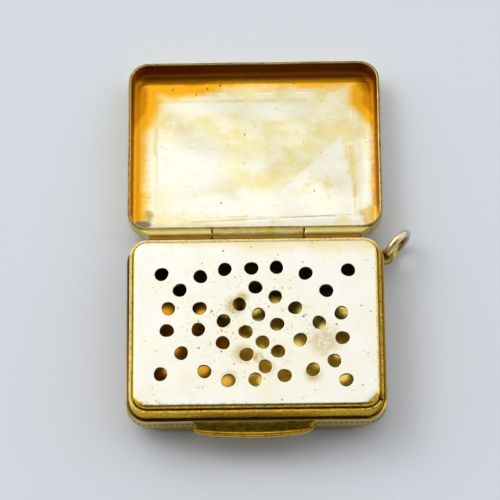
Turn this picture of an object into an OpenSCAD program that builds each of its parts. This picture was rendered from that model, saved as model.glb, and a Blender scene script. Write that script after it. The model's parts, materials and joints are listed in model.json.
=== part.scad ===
// Silver-gilt vinaigrette: a small hinged box with a pierced inner cover over a scented sponge.
// Drawn as it lies on a table, lid thrown right back, in millimetres.
// Origin at the middle of the base's underside, +Z up, hinge towards +Y, front towards -Y.

/* [Box] */
// Width of the box, side to side
box_w = 34; // [28:0.5:42]
// Depth of the box, from its front to its hinge side
box_d = 25.4; // [21:0.2:32]
// Radius of the four upright corners
corner_r = 2.8; // [2.2:0.1:4]
// Height of the base up to its rim
base_h = 4.6; // [4:0.1:6.5]
// Thickness of the base's wall, whose top is the ledge that the lid closes on
base_wall = 0.45; // [0.4:0.05:0.6]
// Thickness of the base's floor
base_floor = 0.45; // [0.35:0.05:0.8]
// Outer radius where the base's wall turns into its floor
base_edge_r = 1.4; // [1:0.1:1.8]

/* [Lid] */
// Thickness of the lid's top
lid_top = 0.4; // [0.3:0.05:0.7]
// Outer radius where the lid's wall turns into its top
lid_edge_r = 1.2; // [0.8:0.1:1.5]
// Slack between the lid's wall and the bezel that it closes over
lid_slack = 0.1; // [0.09:0.01:0.16]
// Hairline left between the lid's rim and the ledge when the box is shut
close_gap = 0.05; // [0.03:0.01:0.1]
// Air left between the grille and the lid's top when the box is shut
head_room = 0.2; // [0.15:0.05:0.5]

/* [Bezel] */
// Thickness of the bezel strip
bezel_t = 0.38; // [0.3:0.02:0.5]
// Height that the bezel stands above the ledge
bezel_rise = 2; // [1.6:0.1:2.2]
// Depth that the bezel reaches down inside the wall
bezel_drop = 1.5; // [1:0.1:2]
// Width of the open seam where the strip's two ends meet
seam_w = 0.1; // [0.05:0.01:0.2]
// Slant of that seam from upright
seam_slant = 45; // [0:1:48]

/* [Grille] */
// Thickness of the grille's pierced plate
grille_plate = 0.4; // [0.3:0.05:0.6]
// Thickness of the grille's turned-down flange
grille_flange = 0.35; // [0.25:0.05:0.5]
// Height of the grille from the flange's rim to the plate's top
grille_h = 1.7; // [1.3:0.1:2.2]
// Outer radius where the plate turns down into the flange
grille_edge_r = 0.4; // [0.4:0.05:0.9]
// Height that the plate stands above the bezel
grille_proud = 0.7; // [0.4:0.05:0.9]
// Slack between the flange and the bezel
grille_slack = 0.15; // [0.1:0.01:0.2]
// Diameter of the grille's holes
hole_d = 1.85; // [1.4:0.05:2]
// Height of the bearer strip that the flange stands on
bearer_h = 0.8; // [0.5:0.1:1.2]
// Thickness of the bearer strip
bearer_t = 0.5; // [0.45:0.05:0.8]

/* [Hinge] */
// Outer diameter of the hinge's tubes
knuckle_d = 1.8; // [1.5:0.05:2.2]
// Gap between the tubes and the box's back
hinge_standoff = 0.1; // [0.08:0.01:0.2]
// Distance that the hinge stops short of each side of the box
hinge_inset = 1.6; // [1.2:0.1:4]
// Length of the middle tube, which belongs to the base
mid_len = 12.2; // [8:0.2:14]
// Offset of the middle tube from the box's centre line
mid_shift = 0.4; // [-1:0.1:1]
// Gap between neighbouring tubes
knuckle_gap = 0.1; // [0.06:0.01:0.2]
// Slope of the filed ends of the hinge
end_slope = 45; // [30:1:50]
// Diameter of the hinge pin
pin_d = 0.8; // [0.6:0.05:0.9]
// Radial clearance of the pin in the tubes
pin_clear = 0.03; // [0.02:0.01:0.06]
// Depth that each end plug reaches into its tube
plug_len = 0.7; // [0.5:0.1:1.2]
// Radial clearance of the end plugs
plug_clear = 0.01; // [0.005:0.005:0.03]
// Height of the bearers along the box's back
leaf_h = 1.5; // [1.2:0.1:1.7]

/* [Thumbpiece] */
// Length of the thumbpiece along the front
thumb_len = 16; // [10:0.5:20]
// Offset of the thumbpiece from the box's centre line
thumb_shift = -0.3; // [-1:0.1:1]
// Reach of the thumbpiece in front of the wall, at its middle
thumb_reach = 2.1; // [1.4:0.1:2.4]
// Amount by which the reach falls off towards its ends
thumb_fall = 0.7; // [0.4:0.1:1]
// Thickness of the thumbpiece against the wall
thumb_t = 0.9; // [0.7:0.05:1.2]
// Slope of the thumbpiece's top, down to the rolled lip along its front
thumb_slope = 18; // [10:1:20]
// Radius of that lip
lip_r = 0.32; // [0.25:0.01:0.35]
// Step from the rim down to the thumbpiece's top
thumb_step = 0.08; // [0.04:0.02:0.3]

/* [Suspension ring] */
// Outer diameter of the ring
ring_d = 5.15; // [4.4:0.05:6]
// Diameter of the ring's wire
ring_wire = 1; // [0.8:0.05:1.1]
// Gap left between the ring and the table
ring_lift = 0.03; // [0.02:0.01:0.2]
// Bearing of the ring from the box's side towards its back
ring_heading = 48; // [40:1:70]
// Lean of the ring from upright
ring_lean = 2; // [-8:1:8]
// Place of the eye round the corner, from the box's side towards its back
eye_bearing = 22; // [15:1:60]
// Radial clearance of the wire in the eye
eye_clear = 0.15; // [0.12:0.01:0.25]
// Thickness of the eye's bent strip
eye_wall = 0.3; // [0.25:0.05:0.5]
// Height of the eye
eye_h = 0.7; // [0.5:0.05:0.9]

/* [Sponge] */
// Depth of the sponge from front to back
sponge_d = 3.6; // [3:0.2:8]
// Height of the sponge
sponge_h = 3; // [2:0.2:4.5]
// Room left round the sponge
sponge_room = 0.5; // [0.3:0.1:1]
// Radius of the sponge's corners
sponge_r = 1.2; // [0.5:0.1:1.4]

/* [Hidden] */
$fn = 64;
overcut = 1;

gilt = "#c9a445";
worn_gilt = "#efe6cf";
deep_gilt = "#9a7a2c";
worn_silver = "#b9b097";
wire_grey = "#8d8d8a";
sponge_brown = "#8a6a3c";

// Bezel and what sits inside it
bezel_w = box_w - 2 * base_wall;
bezel_d = box_d - 2 * base_wall;
bezel_r = corner_r - base_wall;
well_w = bezel_w - 2 * bezel_t;
well_d = bezel_d - 2 * bezel_t;
well_r = bezel_r - bezel_t;
grille_w = well_w - 2 * grille_slack;
grille_d = well_d - 2 * grille_slack;
grille_r = well_r - grille_slack;
grille_top_z = base_h + bezel_rise + grille_proud;
grille_rim_z = grille_top_z - grille_h;

// Lid, which clears the bezel at its walls and the grille at its top
lid_wall = base_wall - lid_slack;
lid_h = bezel_rise + grille_proud + head_room + lid_top - close_gap;

// Hinge, and the angle at which the lid's far edge comes down on the table
knuckle_r = knuckle_d / 2;
bore_d = pin_d + 2 * pin_clear;
hinge_back = hinge_standoff + knuckle_r;
axis_y = box_d / 2 + hinge_back;
hinge_end = box_w / 2 - hinge_inset;
hinge_end_axis = hinge_end - knuckle_r * tan(end_slope);
mid_left = mid_shift - mid_len / 2;
mid_right = mid_shift + mid_len / 2;
straight_end = box_w / 2 - corner_r;
edge_out = hinge_back + box_d - lid_edge_r;
edge_up = close_gap + lid_h - lid_edge_r;
lid_droop = asin((base_h - lid_edge_r) / norm([edge_out, edge_up])) - atan(edge_up / edge_out);
lid_turn = 180 + lid_droop;

// Suspension ring and its eye, both on the eye's upright axis
ring_mid_r = (ring_d - ring_wire) / 2;
ring_z = ring_lift + ring_wire / 2 + ring_mid_r * cos(ring_lean);
eye_hole_r = ring_wire / 2 + eye_clear;
eye_r = eye_hole_r + eye_wall;
eye_reach = corner_r + eye_hole_r;
eye_corner = [box_w / 2 - corner_r, box_d / 2 - corner_r];
eye_axis = eye_corner + eye_reach * [cos(eye_bearing), sin(eye_bearing)];

// Places of the grille's holes, pricked out by eye on a plate of the plan's size.
// They stretch with the plate.
plan_w = 32;
plan_d = 23.4;
corner_holes = [[-12.3, 7], [12.2, 7.3], [-12.4, -7.1], [11.7, -8.2]];
oval_holes = [
    [-7.2, 6.6], [-4, 7.6], [-0.5, 7.7], [2.8, 7.8], [6.6, 6.9], [9.3, 4.4],
    [11.2, 1.2], [11.3, -2.3], [10.2, -5.5], [7.4, -6.7], [3.7, -7.5], [-0.1, -8],
    [-3.6, -8.1], [-6.7, -6.8], [-9.7, -4.2], [-11.6, -1], [-11.4, 2.1], [-9.9, 4.7]
];
lozenge_holes = [
    [0, 5], [2.6, 3.6], [5.2, 2], [8.3, -0.1], [5.8, -2.5], [2.9, -4.1],
    [1.2, -6.2], [-1.2, -4.5], [-4.3, -2.8], [-7.5, -0.9], [-7.3, 2.1], [-2.1, 2.6]
];
middle_holes = [[-4.2, 0.3], [-1.3, -1.3], [0.4, 1.1], [2.8, -0.3], [0.9, -2.8]];
hole_plan = concat(corner_holes, oval_holes, lozenge_holes, middle_holes);

// Carries a profile round a rounded rectangle. The profile's x runs outwards from the corners' centres.
module round_the_box(w, d, r) {
    for (side = [0, 1]) rotate([0, 0, 180 * side]) {
        translate([w / 2 - r, 0, 0]) rotate([90, 0, 0])
            linear_extrude(height = d - 2 * r, center = true) children();
        translate([0, d / 2 - r, 0]) rotate([90, 0, 90])
            linear_extrude(height = w - 2 * r, center = true) children();
        translate([w / 2 - r, d / 2 - r, 0]) rotate_extrude(angle = 90) children();
        translate([r - w / 2, d / 2 - r, 0]) rotate([0, 0, 90])
            rotate_extrude(angle = 90) children();
    }
}

// Upright slice from a corner's centre to the outside, with its lower outer edge rounded
module edge_slice(r, h, edge_r) {
    difference() {
        square([r, h]);
        translate([r - edge_r, 0]) difference() {
            square(edge_r);
            translate([0, edge_r]) circle(edge_r);
        }
    }
}

// Pressed tray with a rounded edge between its floor and its wall, standing on z = 0
module pressed_tray(w, d, h, r, wall, floor_t, edge_r) {
    round_the_box(w, d, r) difference() {
        edge_slice(r, h, edge_r);
        translate([-overcut, floor_t])
            edge_slice(r - wall + overcut, h, max(edge_r - wall, wall / 4));
    }
    translate([r - w / 2, r - d / 2, 0]) cube([w - 2 * r, d - 2 * r, floor_t]);
}

// Strip of metal bent round into a rounded rectangle
module bent_strip(w, d, r, t, h) {
    round_the_box(w, d, r) translate([r - t, 0]) square([t, h]);
}

// Round bar along the hinge's axis
module hinge_bar(x0, x1, dia) {
    translate([x0, axis_y, base_h]) rotate([0, 90, 0]) cylinder(h = x1 - x0, d = dia);
}

// Space outside the filed right-hand end of the hinge, which is longest against the lid
module beyond_hinge_end() {
    size = box_d;
    translate([hinge_end_axis, axis_y, base_h]) rotate([0, 0, end_slope])
        translate([0, -size / 2, -size / 2]) cube(size);
}

// Filed bar that fills the nook between the box's back and the hinge's tubes, above the axis
module nook_bar(x0, x1) {
    inner = 0.2 * knuckle_r;
    lip = 0.8 * hinge_back;
    difference() {
        translate([x0, box_d / 2, base_h]) rotate([90, 0, 90]) linear_extrude(height = x1 - x0)
            polygon([[0, inner], [lip, inner], [lip, 1.1 * knuckle_r], [0, leaf_h]]);
        hinge_bar(x0 - overcut, x1 + overcut, knuckle_d);
    }
}

// Turns what is drawn with the box shut to where the lid lies open
module thrown_back() {
    translate([0, axis_y, base_h]) rotate([-lid_turn, 0, 0]) translate([0, -axis_y, -base_h])
        children();
}

module base_tray() {
    color(deep_gilt)
        pressed_tray(box_w, box_d, base_h, corner_r, base_wall, base_floor, base_edge_r);
}

module base_bezel() {
    color(gilt) difference() {
        translate([0, 0, base_h - bezel_drop])
            bent_strip(bezel_w, bezel_d, bezel_r, bezel_t, bezel_drop + bezel_rise);
        translate([bezel_w / 2 - bezel_r, bezel_r - bezel_d / 2, base_h + bezel_rise / 2])
            rotate([0, 0, -45]) rotate([-seam_slant, 0, 0])
            translate([-bezel_r / 2, -seam_w / 2, -box_d / 2])
            cube([1.5 * bezel_r + overcut, seam_w, box_d]);
    }
}

module grille_bearer() {
    color(deep_gilt) translate([0, 0, grille_rim_z - bearer_h])
        bent_strip(well_w, well_d, well_r, bearer_t, bearer_h);
}

module grille() {
    color(worn_gilt) difference() {
        translate([0, 0, grille_top_z]) mirror([0, 0, 1])
            pressed_tray(grille_w, grille_d, grille_h, grille_r, grille_flange, grille_plate,
                         grille_edge_r);
        for (hole = hole_plan)
            translate([hole.x * grille_w / plan_w, hole.y * grille_d / plan_d, grille_rim_z])
                cylinder(h = grille_h + overcut, d = hole_d);
    }
}

module sponge() {
    inside_back = box_d / 2 - base_wall - sponge_room - max(base_edge_r - base_wall, 0);
    sponge_w = box_w - 2 * corner_r;
    color(sponge_brown) translate([0, inside_back - sponge_d / 2, base_floor]) {
        bent_strip(sponge_w, sponge_d, sponge_r, sponge_r, sponge_h);
        translate([sponge_r - sponge_w / 2, sponge_r - sponge_d / 2, 0])
            cube([sponge_w - 2 * sponge_r, sponge_d - 2 * sponge_r, sponge_h]);
    }
}

module thumbpiece() {
    arc_r = (pow(thumb_len / 2, 2) + pow(thumb_fall, 2)) / (2 * thumb_fall);
    arc_centre = [thumb_shift, arc_r - box_d / 2 - thumb_reach, base_h - thumb_step - thumb_t];
    color(gilt) intersection() {
        union() {
            difference() {
                translate(arc_centre) rotate_extrude($fn = 720) square([arc_r - lip_r, thumb_t]);
                translate([thumb_shift - thumb_len, -box_d / 2, base_h - thumb_step])
                    rotate([thumb_slope, 0, 0]) translate([0, -2 * thumb_reach, 0])
                    cube([2 * thumb_len, 2 * thumb_reach, thumb_t]);
            }
            translate(arc_centre) rotate_extrude($fn = 720)
                translate([arc_r - lip_r, lip_r]) circle(lip_r);
        }
        translate([thumb_shift - thumb_len / 2, -box_d / 2 - 2 * thumb_reach, 0])
            cube([thumb_len, 2 * thumb_reach, base_h]);
    }
}

module base_knuckle() {
    color(worn_silver) difference() {
        hinge_bar(mid_left, mid_right, knuckle_d);
        hinge_bar(mid_left - overcut, mid_right + overcut, bore_d);
    }
}

module base_hinge_bearer() {
    color(deep_gilt) translate([0, 0, base_h]) mirror([0, 0, 1]) translate([0, 0, -base_h])
        nook_bar(mid_left, mid_right);
}

module hinge_pin() {
    end = hinge_end_axis - plug_len - knuckle_gap;
    color(wire_grey) hinge_bar(-end, end, pin_d);
}

module lid_tray() {
    color(gilt) thrown_back() translate([0, 0, base_h + close_gap + lid_h]) mirror([0, 0, 1])
        pressed_tray(box_w, box_d, lid_h, corner_r, lid_wall, lid_top, lid_edge_r);
}

// Tube that belongs to the lid, from the middle tube's end to the filed end on the right
module lid_tube(inner_end) {
    thrown_back() difference() {
        hinge_bar(inner_end + knuckle_gap, box_w / 2, knuckle_d);
        hinge_bar(inner_end, box_w / 2 + overcut, bore_d);
        beyond_hinge_end();
    }
}

module lid_knuckle_left() {
    color(gilt) mirror([1, 0, 0]) lid_tube(-mid_left);
}

module lid_knuckle_right() {
    color(gilt) lid_tube(mid_right);
}

module lid_bearer_left() {
    color(gilt) thrown_back() nook_bar(-straight_end, mid_left - knuckle_gap);
}

module lid_bearer_right() {
    color(gilt) thrown_back() nook_bar(mid_right + knuckle_gap, straight_end);
}

// Silver plug that closes the filed right-hand end of the hinge over the pin
module end_plug() {
    thrown_back() difference() {
        hinge_bar(hinge_end_axis - plug_len, box_w / 2, bore_d - 2 * plug_clear);
        beyond_hinge_end();
    }
}

module hinge_plug_left() {
    color(gilt) mirror([1, 0, 0]) end_plug();
}

module hinge_plug_right() {
    color(gilt) end_plug();
}

// A bar with a round end, from the middle of the corner out to the eye's axis
module eye_bar(r, low_z, h) {
    translate([eye_axis.x, eye_axis.y, low_z]) cylinder(h = h, r = r);
    translate([eye_corner.x, eye_corner.y, low_z]) rotate([0, 0, eye_bearing])
        translate([0, -r, 0]) cube([eye_reach, 2 * r, h]);
}

// A strip bent into a staple, with both ends soldered to the wall
module suspension_eye() {
    color(gilt) difference() {
        eye_bar(eye_r, ring_z - eye_h / 2, eye_h);
        eye_bar(eye_hole_r, 0, ring_z + ring_d);
        translate([eye_corner.x, eye_corner.y, 0]) cylinder(h = base_h, r = corner_r);
    }
}

module suspension_ring() {
    color(worn_silver) translate([eye_axis.x, eye_axis.y, ring_z])
        rotate([0, 0, ring_heading]) rotate([90 + ring_lean, 0, 0])
        translate([ring_mid_r, 0, 0]) rotate_extrude() translate([ring_mid_r, 0])
        circle(d = ring_wire);
}

base_tray();
base_bezel();
grille_bearer();
grille();
sponge();
thumbpiece();
base_knuckle();
base_hinge_bearer();
hinge_pin();
lid_tray();
lid_knuckle_left();
lid_knuckle_right();
lid_bearer_left();
lid_bearer_right();
hinge_plug_left();
hinge_plug_right();
suspension_eye();
suspension_ring();
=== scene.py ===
# A silver-gilt vinaigrette: a small hinged box, lying open on a pale table with its lid thrown right back.
import json
import math

import bmesh
import bpy
from mathutils import Matrix, Vector, noise
from mathutils.geometry import delaunay_2d_cdt


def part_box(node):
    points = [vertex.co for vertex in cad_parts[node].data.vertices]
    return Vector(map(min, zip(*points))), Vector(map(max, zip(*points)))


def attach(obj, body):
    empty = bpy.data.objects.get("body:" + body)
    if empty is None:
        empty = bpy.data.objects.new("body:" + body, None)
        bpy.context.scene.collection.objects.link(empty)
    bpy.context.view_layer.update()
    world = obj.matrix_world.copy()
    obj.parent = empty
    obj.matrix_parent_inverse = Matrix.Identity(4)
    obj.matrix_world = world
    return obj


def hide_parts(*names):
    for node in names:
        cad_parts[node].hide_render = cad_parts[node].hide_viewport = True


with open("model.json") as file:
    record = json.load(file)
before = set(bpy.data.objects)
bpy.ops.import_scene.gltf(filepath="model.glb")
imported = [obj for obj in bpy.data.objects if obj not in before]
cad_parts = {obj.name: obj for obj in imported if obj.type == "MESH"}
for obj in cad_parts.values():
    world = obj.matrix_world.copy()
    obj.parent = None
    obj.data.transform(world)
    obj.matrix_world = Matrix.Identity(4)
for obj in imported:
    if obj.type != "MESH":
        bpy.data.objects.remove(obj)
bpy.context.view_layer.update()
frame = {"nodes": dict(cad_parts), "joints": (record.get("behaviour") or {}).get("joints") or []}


# Base. A shallow tray pressed from silver sheet and gilt all over; the top of its wall is the ledge that the
# lid closes on. A row of short upright cuts is milled round the wall, and handling has thinned the gilding
# on the edges. Shade is painted on as well: on the wall towards its foot and along its sides, in the cuts,
# where the bezel stands on the ledge, on the left ledge, and on the well's floor towards the left.
mm = 0.001
box_w, box_d, corner_r = 34, 25.4, 2.8
half_w, half_d = box_w / 2, box_d / 2
base_h, base_wall, base_floor, base_edge = 4.6, 0.45, 0.45, 1.4
base_in = base_edge - base_wall
rim_soft, rim_cuts = 0.1, 4
cut_mid, cut_tall, cut_deep, cut_stops = 3.35, 0.55, 0.07, 4
below_cuts, above_cuts = (1.9, 2.5), 4.1
foot_from, foot_soft = 2.95, 4.2
floor_long, floor_short, floor_corner = 40, 28, 6
solder_edge, hand_seed = 26.6, 2
thin_gold = (0.88, 0.74, 0.34, 1)
dull_gold = (0.45, 0.30, 0.035, 1)
deep_gold = (0.76, 0.36, 0.015, 1)
well_gold = (0.96, 0.70, 0.13, 1)
olive_gold = (0.66, 0.52, 0.17, 1)
painted_side_shade = (0.28, 0.20, 0.05, 1)
painted_foot_shade = (0.20, 0.15, 0.05, 1)
# Dark brown for real pits, seams and marks, and for painted shade in cuts, grooves and gaps.
marks_and_shade_brown = (0.12, 0.07, 0.01, 1)
painted_shade_black = (0.05, 0.04, 0.03, 1)


class Paint:
    """One socket among a finish's nodes. Sums on it add Math nodes, and add() brings any other node."""

    def __init__(self, tree, socket=None):
        self.tree, self.socket = tree, socket

    def add(self, kind, settings, sockets, out=0):
        node = self.tree.nodes.new("ShaderNode" + kind)
        for name, value in settings.items():
            setattr(node, name, value)
        for name, value in sockets.items():
            if isinstance(value, Paint):
                self.tree.links.new(value.socket, node.inputs[name])
            else:
                node.inputs[name].default_value = value
        return Paint(self.tree, node.outputs[out])

    def sum(self, operation, a, b=0.0):
        return self.add("Math", {"operation": operation}, {0: a, 1: b})

    def __add__(self, other):
        return self.sum("ADD", self, other)

    def __sub__(self, other):
        return self.sum("SUBTRACT", self, other)

    def __rsub__(self, other):
        return self.sum("SUBTRACT", other, self)

    def __mul__(self, other):
        return self.sum("MULTIPLY", self, other)

    def __truediv__(self, other):
        return self.sum("DIVIDE", self, other)

    def __abs__(self):
        return self.sum("ABSOLUTE", self)

    __radd__, __rmul__ = __add__, __mul__


def new_finish(name, metallic=1.0):
    """A material, its shader, and the place on the piece in millimetres, for painting by."""
    material = bpy.data.materials.new(name)
    material.use_nodes = True
    shader = material.node_tree.nodes["Principled BSDF"]
    shader.inputs["Metallic"].default_value = metallic
    start = Paint(material.node_tree).add("TexCoord", {}, {}, "Object")
    place = start.add("VectorMath", {"operation": "SCALE"}, {0: start, "Scale": 1 / mm})
    return material, shader, place


def parts_of(place):
    """The x, y and z of a place."""
    x = place.add("SeparateXYZ", {}, {0: place}, "X")
    node = x.socket.node
    return x, Paint(place.tree, node.outputs["Y"]), Paint(place.tree, node.outputs["Z"])


def grain(place, size, detail, stretch=(1, 1, 1)):
    """Cloudy variation from 0 to 1, with clouds about size millimetres across."""
    spread = place.add("VectorMath", {"operation": "MULTIPLY"}, {0: place, 1: [s / size for s in stretch]})
    sockets = {"Vector": spread, "Scale": 1.0, "Detail": detail, "Roughness": 0.55}
    return place.add("TexNoise", {}, sockets, "Fac")


def pits(place, apart, size, share):
    """Small round specks: about one in each cell of that width, kept in a share of the cells."""
    shrunk = place.add("VectorMath", {"operation": "SCALE"}, {0: place, "Scale": 1 / apart})
    near = place.add("TexVoronoi", {}, {"Vector": shrunk, "Scale": 1.0}, "Distance")
    chance = place.add("SeparateColor", {}, {0: Paint(place.tree, near.socket.node.outputs["Color"])}, 0)
    return between(near, size / apart, 0.4 * size / apart) * between(chance, share, share - 0.02)


def between(value, none, full):
    """A mask that goes smoothly from 0 where the value is none to 1 where it is full."""
    settings = {"interpolation_type": "SMOOTHSTEP"}
    return value.add("MapRange", settings, {0: value, 1: none, 2: full, 3: 0.0, 4: 1.0})


def coats(colour, *layers):
    """A colour with others laid over it in turn, each where its own mask is 1."""
    for mask, over in layers:
        colour = mask.add("Mix", {"data_type": "RGBA"}, {0: mask, 6: colour, 7: over}, 2)
    return colour


def marked(place, name):
    """A value that was written on the mesh's own points."""
    return place.add("Attribute", {"attribute_name": name}, {}, "Fac")


def burnish(shader, colour, roughness, height=None, depth=0.0):
    """Links a finish's colour, roughness and relief, in millimetres, to its shader."""
    tree = colour.tree
    tree.links.new(colour.socket, shader.inputs["Base Color"])
    tree.links.new(roughness.socket, shader.inputs["Roughness"])
    if height is not None:
        bump = height.add("Bump", {}, {"Height": height, "Distance": depth * mm, "Strength": 1.0}, "Normal")
        tree.links.new(bump.socket, shader.inputs["Normal"])


def arc(x, y, radius, start, end, cuts):
    """Points on an arc, from one bearing to another in degrees."""
    bearings = [math.radians(start + (end - start) * i / cuts) for i in range(cuts + 1)]
    return [(x + radius * math.cos(t), y + radius * math.sin(t)) for t in bearings]


def set_out(x, y, bearing, out, z):
    """A point set out from an anchor along a bearing, at a height."""
    return Vector((x + out * math.cos(bearing), y + out * math.sin(bearing), z))


def walk_round(w, d, r, long_cuts, short_cuts, corner_cuts):
    """Stops round a rounded rectangle, anticlockwise from the middle of its back: an anchor on the sides of
    the rectangle through its corners' centres, and the bearing that is outwards there."""
    a, b = w / 2 - r, d / 2 - r
    half = long_cuts // 2
    legs = [
        ((0, b), (-a, b), 90, half),
        ((-a, b), (-a, -b), 180, short_cuts),
        ((-a, -b), (a, -b), 270, long_cuts),
        ((a, -b), (a, b), 360, short_cuts),
        ((a, b), (0, b), 450, half),
    ]
    stops = []
    for (x0, y0), (x1, y1), bearing, cuts in legs:
        for i in range(cuts):
            stops.append((x0 + (x1 - x0) * i / cuts, y0 + (y1 - y0) * i / cuts, math.radians(bearing)))
        for i in range(corner_cuts if bearing < 450 else 0):
            stops.append((x1, y1, math.radians(bearing + 90 * i / corner_cuts)))
    return stops


def skin(rows, across, shut_rows=False, shut_across=True):
    """Faces that join rows of points side by side. The last row may be joined to the first, and each row's
    last point to its first."""
    faces = []
    for k in range(rows if shut_rows else rows - 1):
        after = (k + 1) % rows
        for i in range(across if shut_across else across - 1):
            j = (i + 1) % across
            faces.append((k * across + i, k * across + j, after * across + j, after * across + i))
    return faces


def sweep(profile, stops):
    """Points and faces of a profile carried round the stops. Its first number runs out from the anchors."""
    points = [set_out(x, y, t, out, z) for out, z in profile for x, y, t in stops]
    return points, skin(len(profile), len(stops))


def pressed_tray(w, d, r, profile, long_cuts, short_cuts, corner_cuts, finer=1):
    """A tray from its profile, which starts under the floor and ends on it, closed by the two floors. Its
    walls are cut finer than the floors by that number."""
    stops = walk_round(w, d, r, long_cuts * finer, short_cuts * finer, corner_cuts * finer)
    n = len(stops)
    points, faces = sweep(profile, stops)
    a, b = w / 2 - r, d / 2 - r
    for ring in (0, len(profile) - 1):
        first, level = len(points), profile[ring][1]
        for j in range(short_cuts + 1):
            for i in range(long_cuts + 1):
                points.append(Vector((a * (2 * i / long_cuts - 1), b * (2 * j / short_cuts - 1), level)))
        across = long_cuts + 1
        for j in range(short_cuts):
            for i in range(long_cuts):
                k = first + j * across + i
                faces.append((k, k + 1, k + 1 + across, k + across))
        core = []
        for x, y, _ in stops:
            i = round((x + a) / (2 * a) * long_cuts)
            j = round((y + b) / (2 * b) * short_cuts)
            core.append(first + j * across + i)
        for k in range(n):
            m = (k + 1) % n
            faces.append(tuple(dict.fromkeys((ring * n + k, ring * n + m, core[m], core[k]))))
    return points, faces, stops


def hand_worked(points, amount, size, seed):
    """Points nudged by smooth noise, as metal pressed and filed by hand is never quite true."""
    return [p + noise.noise_vector(p / size + Vector((seed, 0, 0))) * amount for p in points]


def tucked(p):
    """A point of the base with the lower corners drawn in, where the sheet was pressed to a softer foot."""
    share = max(0.0, min(1.0, (foot_from - p.z) / foot_from))
    soft = foot_soft * share * share * (3 - 2 * share)
    foot_r = corner_r + soft
    corner = Vector((half_w - foot_r, half_d - foot_r))
    away = Vector((abs(p.x), abs(p.y))) - corner
    if soft == 0 or min(away) <= 0:
        return p
    u = away.normalized()
    if min(u) / max(u) * foot_r <= soft:
        reach = foot_r / max(u)
    else:
        lean = soft * (u.x + u.y)
        reach = lean + math.sqrt(lean * lean - 2 * soft * soft + corner_r * corner_r)
    drawn_in = corner + away * foot_r / reach
    return Vector((math.copysign(drawn_in.x, p.x), math.copysign(drawn_in.y, p.y), p.z))


def make_piece(name, points, faces, body, nodes, slot, finish, sharp=45, **marks):
    """A mesh from points in millimetres, riding on a body in place of its CAD nodes."""
    mesh = bpy.data.meshes.new(name)
    mesh.from_pydata([p * mm for p in points], [], faces)
    for mark, values in marks.items():
        mesh.attributes.new(mark, "FLOAT", "POINT").data.foreach_set("value", values)
    form = bmesh.new()
    form.from_mesh(mesh)
    bmesh.ops.recalc_face_normals(form, faces=form.faces)
    form.to_mesh(mesh)
    form.free()
    mesh.shade_smooth()
    mesh.set_sharp_from_angle(angle=math.radians(sharp))
    mesh.materials.append(finish)
    piece = bpy.data.objects.new(name, mesh)
    bpy.context.scene.collection.objects.link(piece)
    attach(piece, body)
    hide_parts(*nodes)
    return piece


base_profile = arc(corner_r - base_edge, base_edge, base_edge, -90, 0, 10)
worn_rows = range(3, 9)
base_profile += [(corner_r, level) for level in below_cuts]
base_profile += [(corner_r, cut_mid + cut_tall * share) for share in (-0.5, -0.3, 0.3, 0.5)]
base_profile += [(corner_r, above_cuts)]
rim_from = len(base_profile)
base_profile += arc(corner_r - rim_soft, base_h - rim_soft, rim_soft, 0, 90, rim_cuts)
base_profile += arc(corner_r - base_wall + rim_soft, base_h - rim_soft, rim_soft, 90, 180, rim_cuts)
base_profile += arc(corner_r - base_wall - base_in, base_floor + base_in, base_in, 0, -90, 8)
base_cuts = (floor_long, floor_short, floor_corner, cut_stops)
points, faces, stops = pressed_tray(box_w, box_d, corner_r, base_profile, *base_cuts)
n = len(stops)
rubbed = [0.0] * len(points)
inside = [0.0] * len(points)
milled = [0.0] * len(points)
for k, (_, z) in enumerate(base_profile):
    in_row = k < rim_from and abs(z - cut_mid) < 0.4 * cut_tall
    for i, (_, _, t) in enumerate(stops):
        if rim_from <= k < rim_from + rim_cuts:
            rubbed[k * n + i] = 1.0
        elif k in worn_rows:
            rubbed[k * n + i] = 0.6
        if k >= rim_from + rim_cuts:
            inside[k * n + i] = 1.0
        if in_row and i % cut_stops in (1, 2):
            milled[k * n + i] = 1.0
            points[k * n + i] -= Vector((math.cos(t), math.sin(t), 0)) * cut_deep
floor_points = (floor_long + 1) * (floor_short + 1)
inside[-floor_points:] = [1.0] * floor_points
noise.seed_set(hand_seed)
points = hand_worked([tucked(p) for p in points], amount=0.03, size=5, seed=3)

base_gilt, shader, place = new_finish("base_gilt")
x, y, z = parts_of(place)
cut = between(marked(place, "milled"), 0.3, 0.9)
within = marked(place, "inside")
clouds = grain(place, 3.5, 4)
thin = between(marked(place, "rubbed") + (clouds - 0.5) * 1.6, 0.35, 0.95)
shaded_sides = between(abs(x) + (clouds - 0.5) * 0.4, half_w - 0.8, half_w - 0.5)
left_ledge_shade = between(x, 0.7 - half_w, 0.4 - half_w) * between(y, -8, 4)
bezel_foot_shade = between(z, base_h - 0.4, base_h - 0.1) * between(within, 0.2, 0.7)
solder = between(x - y + (clouds - 0.5) * 0.6, solder_edge, solder_edge + 1)
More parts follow.
